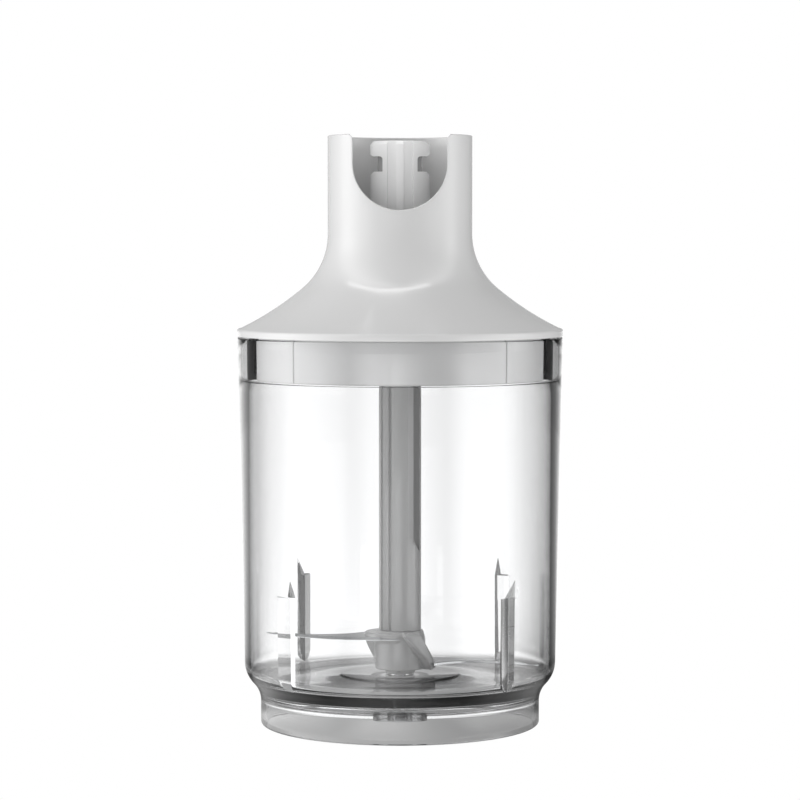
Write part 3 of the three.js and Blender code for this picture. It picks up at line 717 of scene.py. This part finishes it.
def shaftPiece(s):
    # a wide ridge to the front and back, each with a long flute on one side and a deep groove on the other
    outline = []
    for way in (1, -1):
        flute = [(way * x, -way * y) for x, y in s["long"]]
        middle = front if way > 0 else -front
        ridge = middle - math.radians(s["ridge"])
        side = middle + math.pi - math.atan2(6.6, 3.56)
        outline += flute + arcPoints((0, 0), s["radius"], ridge, side, 60)[:-1]
    bottom, top = s["ends"]
    body = slab("knifeShaft", outline, bottom, top)
    startX, wallX, wallY = s["chamfer"]
    grooveLeft, grooveRight, grooveFloor = s["groove"]
    upperEnd, lowerEnd = s["end"]
    for half in (0, math.pi):
        spin = Matrix.Rotation(half, 4, "Z")
        tool = slab("driven", [(x, -y) for x, y in s["driven"]], s["drivenFrom"], top + 1)
        tool.data.transform(spin)
        cut(body, tool)
        groove = [(grooveLeft, upperEnd), (grooveRight, lowerEnd)]
        groove += [(grooveRight, top + 1), (grooveLeft, top + 1)]
        tool = pieceFrom("groove", lambda bm: loopGrid(
            bm, [[(x, y, z) for x, z in groove] for y in (-9, grooveFloor)], closed=False, capped=True))
        tool.data.transform(spin)
        cut(body, tool)
        # the sloping face beside the groove runs out in a curve
        rows = []
        for share in spread(0, 1, 12):
            z = between(lowerEnd - 0.6, upperEnd + 0.6, share)
            depth = math.sin(share * math.pi / 2)
            rows.append((z, depth))
        rows.append((top + 1, 1))
        sloping = []
        for z, depth in rows:
            inner = Vector((startX, -6.9))
            outer = Vector((wallX + 0.02, -wallY))
            away = Vector((0.81, -0.59)) * 2.2 * (1 - depth)
            faceEnds = [(*(inner + away), z), (*(outer + away), z)]
            sloping.append(faceEnds + [(wallX + 0.02, -9, z), (startX, -9, z)])
        tool = pieceFrom("slope", lambda bm: loopGrid(bm, sloping, closed=False, capped=True))
        tool.data.transform(spin)
        cut(body, tool)
    radius, depth = s["hole"]
    hole = [(0, bottom - 1), (radius, bottom - 1), (radius, bottom + depth), (0, bottom + depth)]
    cut(body, lathe("hole", hole, 48))
    breakEdges(body, 0.08, 2, 25)
    return smooth(body, 25)


place(shaftPiece(shaft), "knife", "blade_shaft")
print("knife made")


lid = {
    "tubeHole": 10.75,
    "neck": (25.35, 2.4, high("lid_cover").z),
    "socketFloor": 167.5,
    "flareStart": 172.8,
    "bends": ((25, 50), (104, 65)),
    "wall": 2.2,
    "band": (high("lid_cover").x, low("lid_cover").z, 139.2),
    "lip": 55.65,
    "notch": (16.3, 197.1),
    "notchLip": 0.45,
    "tube": high("gear_cover").z,
}


def flareCurve(l, wall, start, end, steps):
    (r1, bend1), (r2, bend2) = l["bends"]
    bend1 = math.radians(bend1)
    c1 = (l["neck"][0] + r1, l["flareStart"])
    joint = (c1[0] - r1 * math.cos(bend1), c1[1] - r1 * math.sin(bend1))
    c2 = (joint[0] + r2 * math.cos(bend1), joint[1] + r2 * math.sin(bend1))
    first = arcPoints(c1, r1 + wall, math.pi + start, math.pi + bend1, steps)
    second = arcPoints(c2, r2 + wall, math.pi + bend1, math.pi + end, steps)
    return first + second[1:]


def lidPiece(l):
    neckR, neckWall, topZ = l["neck"]
    bandR, bandLow, bandHigh = l["band"]
    socketR = neckR - neckWall
    webZ = l["socketFloor"] - 2.4
    webBend = math.asin((l["flareStart"] - webZ) / (l["bends"][0][0] + l["wall"]))
    endBend = math.radians(l["bends"][1][1])
    tubeR = l["tubeHole"]
    neckEdge = [(socketR, topZ - 4), (socketR, topZ, 0.5), (neckR, topZ, 0.4), (neckR, topZ - 4)]
    outline = roundCorners(neckEdge, 5, closed=False)
    outline += [(neckR, z) for z in (195, 187, 180)]
    outline += flareCurve(l, 0, 0, endBend - math.radians(0.4), 14)
    outline += roundCorners([(bandR - 4, bandHigh + 1.8), (bandR, bandHigh, 0.9), (bandR, bandLow, 0.4),
                             (l["lip"], bandLow, 0.3), (l["lip"] - 1, bandLow + 2)], 4, closed=False)[1:-1]
    outline += flareCurve(l, l["wall"], webBend, endBend - math.radians(0.6), 8)[::-1]
    socketZ = l["socketFloor"]
    web = [(tubeR + 2, webZ), (tubeR, webZ, 0.3), (tubeR, socketZ, 0.3), (socketR, socketZ, 1.5)]
    outline += roundCorners(web + [(socketR, socketZ + 6)], 4, closed=False)
    outline += [(socketR, z) for z in (180, 187, 195)]
    body = lathe("lidShell", outline, 160)
    cut(body, notchTool(l))
    return smooth(body, 38)


def notchTool(l):
    # the notch's U, flared where it meets the outer and inner walls so that its edges come out rounded
    notchR, notchZ = l["notch"]
    neckR, neckWall, topZ = l["neck"]
    lip = l["notchLip"]

    def outline(grow):
        bend = [polar(notchR + grow, a) for a in spread(math.pi, turn, 64)]
        under = [(x, notchZ + z) for x, z in bend]
        corner = [(notchR + grow, topZ - 1.3), (notchR + grow + 1, topZ - 0.2), (notchR + grow + 1, topZ + 2)]
        return under + corner + [(-x, z) for x, z in corner[::-1]]

    def onCylinder(radius, grow):
        return [(x, -math.sqrt(radius * radius - x * x), z) for x, z in outline(grow)]

    loops = [[(x, -9, z) for x, z in outline(lip)], onCylinder(neckR - neckWall - 0.01, lip)]
    for share in (0.25, 0.5, 0.75, 1):
        loops.append(onCylinder(neckR - neckWall + lip * share, lip - lip * math.sqrt(1 - (1 - share) ** 2)))
    for share in (1, 0.75, 0.5, 0.25, 0.08, 0):
        loops.append(onCylinder(neckR - lip * share, lip - lip * math.sqrt(1 - (1 - share) ** 2)))
    loops.append([(x, -34, z) for x, z in outline(lip)])
    return pieceFrom("notch", lambda bm: loopGrid(bm, loops, closed=False, capped=True))


lidShell = place(lidPiece(lid), "lid", "lid_cover")
# the cover takes the darker copy of the white plastic, as painted shade
lidShell.data.materials[0] = lidShadedFinish

base = {
    "ringLedge": (28, 134.6),
    "bushTop": 131,
    "skirt": (high("lid_base").x, 2.1, 137),
    "bottom": low("lid_base").z,
    "plate": 2.2,
    "seat": 13.1,
    "housing": (30.1, 32.3, 145),
    "slots": (65.5, 8.6),
    "seams": (40, 0.7),
}


def basePiece(b):
    skirtR, skirtWall, skirtTop = b["skirt"]
    bottom = b["bottom"]
    plateTop = bottom + b["plate"]
    ringIn, ringOut, housingTop = b["housing"]
    seat = b["seat"]
    skirtIn = skirtR - skirtWall
    ledgeR, ledgeZ = b["ringLedge"]
    bushTop = b["bushTop"]
    body = lathe("lidBase", roundCorners(
        [(seat, bottom, 0.2), (skirtR, bottom, 0.7), (skirtR, skirtTop, 0.3), (skirtIn, skirtTop, 0.3),
         (skirtIn, plateTop, 0.8), (ringOut, plateTop, 0.8), (ringOut, housingTop, 0.2),
         (ringIn, housingTop, 0.2), (ringIn, ledgeZ), (ledgeR, ledgeZ, 0.2), (ledgeR, plateTop, 0.5),
         (seat + 2.2, plateTop, 0.5), (seat + 2.2, bushTop, 0.2), (seat, bushTop, 0.2)], 3), 160)
    for middle in (front, -front):
        for side in (-1, 1):
            slotAngle = middle + side * math.radians(b["slots"][0])
            seamAngle = middle + side * math.radians(b["seams"][0])
            half = b["slots"][1] / 2
            outerEnd = (skirtR + 1, half, skirtTop + 1)
            cut(body, bar("slot", (skirtIn - 0.8, -half, bottom - 1), outerEnd, slotAngle))
            half = b["seams"][1] / 2
            outerEnd = (skirtR + 1, half, skirtTop + 1)
            cut(body, bar("seam", (skirtR - 0.6, -half, bottom - 1), outerEnd, seamAngle))
    return smooth(body, 35)


def paintShadeInSlots(piece, b):
    # the faces inside the four slots get a near-black finish, painted shade standing in for the shadow that
    # the rest of the lid casts there
    piece.data.materials.append(slotPaintedShadeFinish)
    skirtR, skirtTop = b["skirt"][0], b["skirt"][2]
    for face in piece.data.polygons:
        at = face.center / mm
        away = math.hypot(at.x, at.y)
        aside = min(abs(math.degrees(math.atan2(at.x, -at.y)) - k) for k in (-114.5, -65.5, 65.5, 114.5))
        inside = away * math.radians(aside) < b["slots"][1] / 2 + 0.05
        if inside and 45 < away < skirtR - 0.2 and b["bottom"] + 0.4 < at.z < skirtTop - 0.05:
            face.material_index = 1


lidBase = place(basePiece(base), "lid", "lid_base")
# paints shade inside the slots with the near-black finish
paintShadeInSlots(lidBase, base)

seal = {"outside": high("shaft_seal").x, "lip": 8.2, "ends": (low("shaft_seal").z, high("shaft_seal").z)}
sealLow, sealHigh = seal["ends"]
sealIn, sealOut = seal["lip"], seal["outside"]
sealOutline = roundCorners(
    [(sealIn, sealLow + 0.6, 0.2), (sealIn + 1.2, sealLow, 0.3), (sealOut - 0.6, sealLow, 0.6),
     (sealOut, sealLow + 0.9, 0.6), (sealOut, sealHigh, 0.2), (sealIn, sealHigh, 0.2)], 4
)
place(smooth(lathe("shaftSeal", sealOutline, 128)), "lid", "shaft_seal")

tube = {
    "fluteFrom": 168,
    "screws": (33.4, 1.35),
    "radius": 10.45,
    "bore": 8.6,
    "top": high("gear_cover").z,
    "plate": (low("gear_cover").z, 147.1, high("gear_cover").x),
    "collar": (5.6, 157),
    "window": (194.3, 199.6, 6.1),
    "flute": (16.5, 3.4, 1.0),
    "edge": 0.07,
}


def tubePiece(t):
    plateLow, plateHigh, plateR = t["plate"]
    seatR, collarTop = t["collar"]
    tubeR, tubeTop, bore = t["radius"], t["top"], t["bore"]
    body = lathe("couplingTube", [
        (seatR, plateLow), (plateR, plateLow), (plateR, plateHigh), (tubeR, plateHigh),
        (tubeR, tubeTop - 1.2), (tubeR - 1.2, tubeTop), (bore, tubeTop), (bore, collarTop),
        (seatR, collarTop)], 96)
    lower, upper, inner = t["window"]
    for side in (-1, 1):
        # the latch windows: square below with a sloping shoulder, round at the top inside corner
        corners = [(inner, lower), (tubeR - 1.2, lower), (tubeR + 0.1, lower - 1.3), (14, lower - 1.3),
                   (14, upper + 0.6), (tubeR - 0.1, upper + 0.6), (tubeR - 1, upper), (inner, upper, 1.1)]
        plan = roundCorners(corners, 5)

        def build(bm, plan=plan, side=side):
            faces = [[(side * x, y, z) for x, z in plan] for y in (-14, 14)]
            loopGrid(bm, faces, closed=False, capped=True)

        cut(body, pieceFrom("window", build))
    angle, width, depth = t["flute"]
    for middle in (front, -front):
        for side in (-1, 1):
            innerEnd = (tubeR - depth, -width / 2, t["fluteFrom"])
            outerEnd = (tubeR + 1, width / 2, tubeTop + 1)
            cut(body, bar("flute", innerEnd, outerEnd, middle + side * math.radians(angle)))
    for i in range(3):
        screwRing, screwHole = t["screws"]
        x, y = polar(screwRing, front + turn / 6 + turn * i / 3)
        holeSides = [(0, plateLow - 1), (screwHole, plateLow - 1)]
        holeSides += [(screwHole, plateHigh + 1), (0, plateHigh + 1)]
        cut(body, lathe("hole", holeSides, 20, (x, y)))
    breakEdges(body, t["edge"], 2, 30)
    return smooth(body, 32)


couplingTube = place(tubePiece(tube), "lid", "gear_cover")
# the tube takes the lighter copy of the white plastic, as painted light
couplingTube.data.materials[0] = tubeLitFinish

dog = {"radius": 8.1, "groove": 1.7, "ends": (low("drive_dog").z, high("drive_dog").z), "socket": 2.6}


def dogPiece(d):
    outline = []
    for i in range(6):
        middle = front + turn * i / 6
        outline += arcPoints((0, 0), d["radius"], middle - math.radians(13), middle + math.radians(13), 6)
        grooveStart, grooveEnd = middle + math.radians(20), middle + math.radians(40)
        outline += arcPoints((0, 0), d["radius"] - d["groove"], grooveStart, grooveEnd, 5)
    bottom, top = d["ends"]
    body = slab("driveDog", outline, bottom, top)
    half = d["socket"]
    cut(body, bar("socket", (-half, -half, top - 5), (half, half, top + 1)))
    cut(body, lathe("hole", [(0, bottom - 1), (3.1, bottom - 1), (3.1, top - 4.8), (0, top - 4.8)], 32))
    breakEdges(body, 0.25, 2, 40)
    return smooth(body, 32)


place(dogPiece(dog), "input_drive", "drive_dog")
print("lid made")


studio = {
    "cameraAway": 1.0,
    "cameraHeight": 0.1729,
    "tilt": 3.36,
    "lens": 127.9,
    "floorSize": 60,
    # soft light from each direction round the object: degrees from the front, positive to the right
    "around": [(-180, 0.5), (-165, 0.5), (-148, 0.25), (-124, 0.05), (-112, 0.5), (-104, 2.0), (-88, 3.2),
               (-70, 2.0), (-40, 0.45), (-10, 0.35), (15, 0.3), (40, 0.35), (70, 1.2), (88, 2.6), (98, 1.4),
               (108, 0.25), (124, 0.05), (148, 0.08), (165, 0.4), (180, 0.5)],
    # and from below to above: height of the direction, -1 to 1
    "upward": [(-1, 0.1), (-0.3, 0.3), (0, 0.8), (0.15, 1.0), (0.5, 0.66), (0.8, 0.95), (1, 1.1)],
    # the floor's glow as everything but the camera sees it, painted light and shade by direction from the
    # object and by distance in metres
    "floorGlowAround": [
        (-180, 1.27), (-162, 1.27), (-150, 0.5), (-132, 0.08), (-119, 0.06), (-102, 1.2),
        (-85, 2.2), (-60, 1.6), (-36, 0.2), (-20, 1.9), (-4, 1.8), (20, 0.25),
        (34, 0.2), (48, 1.9), (80, 1.8), (100, 0.7), (112, 0.06), (132, 0.04),
        (152, 0.2), (168, 1.15), (180, 1.27),
    ],
    # near the object the floor glows one soft grey, a painted shadow, a little darker to the right
    "floorNearShadow": [(-0.2, 0.25), (-0.08, 0.5), (0, 0.42), (0.04, 0.26), (0.08, 0.15), (0.2, 0.05)],
    "floorAway": [(0.045, 0), (0.065, 0.4), (0.09, 0.85), (0.14, 1), (0.3, 1)],
}

lamps = {
    # where it is, its width and length, its brightness, and what it lights; all but one face the object
    "left": {"at": (-0.95, -0.1, 0.35), "size": (0.5, 0.8), "bright": 2.4, "lights": "shade"},
    "right": {"at": (0.95, -0.1, 0.35), "size": (0.5, 0.8), "bright": 1.5, "lights": "shade"},
    "front": {"at": (-0.3, -1.2, 0.5), "size": (0.8, 0.8), "bright": 1.2, "lights": "shade"},
    "back": {"at": (0.2, 1.3, 0.7), "size": (1.4, 1.0), "bright": 1.2, "lights": "shade"},
    # a narrow strip overhead, turned level instead of facing the object
    "crescent": {
        "at": (-0.16, 0.12, 1.1), "size": (1.0, 0.07), "bright": 8, "lights": "gloss", "turned": 167,
    },
}


def setCamera(s):
    camera = bpy.data.objects.new("camera", bpy.data.cameras.new("camera"))
    bpy.context.scene.collection.objects.link(camera)
    camera.location = (0, -s["cameraAway"], s["cameraHeight"])
    camera.rotation_euler = (math.radians(90 - s["tilt"]), 0, 0)
    camera.data.lens = s["lens"]
    camera.data.sensor_width = 36
    camera.data.clip_start = 0.05
    camera.data.clip_end = 100
    bpy.context.scene.camera = camera


def setLamps(table):
    for name, look in table.items():
        data = bpy.data.lights.new(name, "AREA")
        data.shape = "RECTANGLE"
        data.size, data.size_y = look["size"]
        data.energy = look["bright"] * math.pi * look["size"][0] * look["size"][1]
        lamp = bpy.data.objects.new(name, data)
        bpy.context.scene.collection.objects.link(lamp)
        lamp.location = look["at"]
        lamp.visible_diffuse = look["lights"] == "shade"
        lamp.visible_glossy = look["lights"] == "gloss"
        lamp.visible_transmission = False
        aim = (Vector((0, 0, 0.13)) - lamp.location).to_track_quat("-Z", "Y")
        if "turned" in look:
            lamp.rotation_euler = (0, 0, math.radians(look["turned"]))
        else:
            lamp.rotation_euler = aim.to_euler()


def levelRamp(tree, value, stops):
    # greys that follow a number through a list of (number, brightness)
    first, last = stops[0][0], stops[-1][0]
    peak = max(level for _, level in stops)
    span = tree.nodes.new("ShaderNodeMapRange")
    span.inputs["From Min"].default_value = first
    span.inputs["From Max"].default_value = last
    tree.links.new(value, span.inputs["Value"])
    colours = tree.nodes.new("ShaderNodeValToRGB")
    while len(colours.color_ramp.elements) < len(stops):
        colours.color_ramp.elements.new(0.5)
    for element, (where, level) in zip(colours.color_ramp.elements, stops):
        element.position = (where - first) / (last - first)
        element.color = (level / peak, level / peak, level / peak, 1)
    tree.links.new(span.outputs["Result"], colours.inputs["Fac"])
    return colours.outputs["Color"], peak


def directionOf(tree, vector):
    # degrees from the front, and the vector's own parts
    parts = tree.nodes.new("ShaderNodeSeparateXYZ")
    tree.links.new(vector, parts.inputs["Vector"])
    ahead = tree.nodes.new("ShaderNodeMath")
    ahead.operation = "MULTIPLY"
    ahead.inputs[1].default_value = -1
    tree.links.new(parts.outputs["Y"], ahead.inputs[0])
    angle = tree.nodes.new("ShaderNodeMath")
    angle.operation = "ARCTAN2"
    tree.links.new(parts.outputs["X"], angle.inputs[0])
    tree.links.new(ahead.outputs["Value"], angle.inputs[1])
    degrees = tree.nodes.new("ShaderNodeMath")
    degrees.operation = "DEGREES"
    tree.links.new(angle.outputs["Value"], degrees.inputs[0])
    return degrees.outputs["Value"], parts.outputs


def product(tree, first, second):
    # two ramps multiplied, and the brightness that their peaks multiply to
    (a, peakA), (b, peakB) = first, second
    both = tree.nodes.new("ShaderNodeMix")
    both.data_type = "RGBA"
    both.blend_type = "MULTIPLY"
    both.inputs["Factor"].default_value = 1
    tree.links.new(a, both.inputs["A"])
    tree.links.new(b, both.inputs["B"])
    return both.outputs["Result"], peakA * peakB


def setWorld(s):
    # soft light by direction, and plain white where the camera sees past everything
    world = bpy.data.worlds.new("studio")
    bpy.context.scene.world = world
    world.use_nodes = True
    tree = world.node_tree
    tree.nodes.clear()
    sky = tree.nodes.new("ShaderNodeTexCoord")
    degrees, parts = directionOf(tree, sky.outputs["Generated"])
    soft = tree.nodes.new("ShaderNodeBackground")
    sideways = levelRamp(tree, degrees, s["around"])
    upwards = levelRamp(tree, parts["Z"], s["upward"])
    light, peak = product(tree, sideways, upwards)
    tree.links.new(light, soft.inputs["Color"])
    soft.inputs["Strength"].default_value = peak
    plain = tree.nodes.new("ShaderNodeBackground")
    plain.inputs["Color"].default_value = (1, 1, 1, 1)
    path = tree.nodes.new("ShaderNodeLightPath")
    mix = tree.nodes.new("ShaderNodeMixShader")
    tree.links.new(path.outputs["Is Camera Ray"], mix.inputs["Fac"])
    tree.links.new(soft.outputs["Background"], mix.inputs[1])
    tree.links.new(plain.outputs["Background"], mix.inputs[2])
    output = tree.nodes.new("ShaderNodeOutputWorld")
    tree.links.new(mix.outputs["Shader"], output.inputs["Surface"])


def setFloor(s):
    def build(bm):
        half = s["floorSize"] / 2 / mm
        corners = [(-half, -half), (half, -half), (half, half), (-half, half)]
        bm.faces.new([bm.verts.new((x, y, -0.2)) for x, y in corners])

    floor = pieceFrom("floor", build)
    finish, tree, shader, where, output = nodeTree("paleFloor")
    degrees, parts = directionOf(tree, where)
    away = tree.nodes.new("ShaderNodeVectorMath")
    away.operation = "LENGTH"
    tree.links.new(where, away.inputs[0])
    # for every ray but the camera's the floor glows: painted light and shade by direction, and a painted
    # shadow near the object
    far, peak = levelRamp(tree, degrees, s["floorGlowAround"])
    close, closePeak = levelRamp(tree, parts["X"], [(x, level / peak) for x, level in s["floorNearShadow"]])
    dim = tree.nodes.new("ShaderNodeMix")
    dim.data_type = "RGBA"
    dim.inputs["A"].default_value = (0, 0, 0, 1)
    dim.inputs["Factor"].default_value = closePeak
    tree.links.new(close, dim.inputs["B"])
    share, _ = levelRamp(tree, away.outputs["Value"], s["floorAway"])
    blend = tree.nodes.new("ShaderNodeMix")
    blend.data_type = "RGBA"
    tree.links.new(share, blend.inputs["Factor"])
    tree.links.new(dim.outputs["Result"], blend.inputs["A"])
    tree.links.new(far, blend.inputs["B"])
    soft = tree.nodes.new("ShaderNodeEmission")
    tree.links.new(blend.outputs["Result"], soft.inputs["Color"])
    soft.inputs["Strength"].default_value = peak
    plain = tree.nodes.new("ShaderNodeEmission")
    plain.inputs["Color"].default_value = (1, 1, 1, 1)
    path = tree.nodes.new("ShaderNodeLightPath")
    mix = tree.nodes.new("ShaderNodeMixShader")
    tree.links.new(path.outputs["Is Camera Ray"], mix.inputs["Fac"])
    tree.links.new(soft.outputs["Emission"], mix.inputs[1])
    tree.links.new(plain.outputs["Emission"], mix.inputs[2])
    tree.links.new(mix.outputs["Shader"], output.inputs["Surface"])
    tree.nodes.remove(shader)
    floor.data.materials.append(finish)


setCamera(studio)
setWorld(studio)
setLamps(lamps)
setFloor(studio)
bpy.context.scene.view_settings.view_transform = "Standard"
print("studio set")
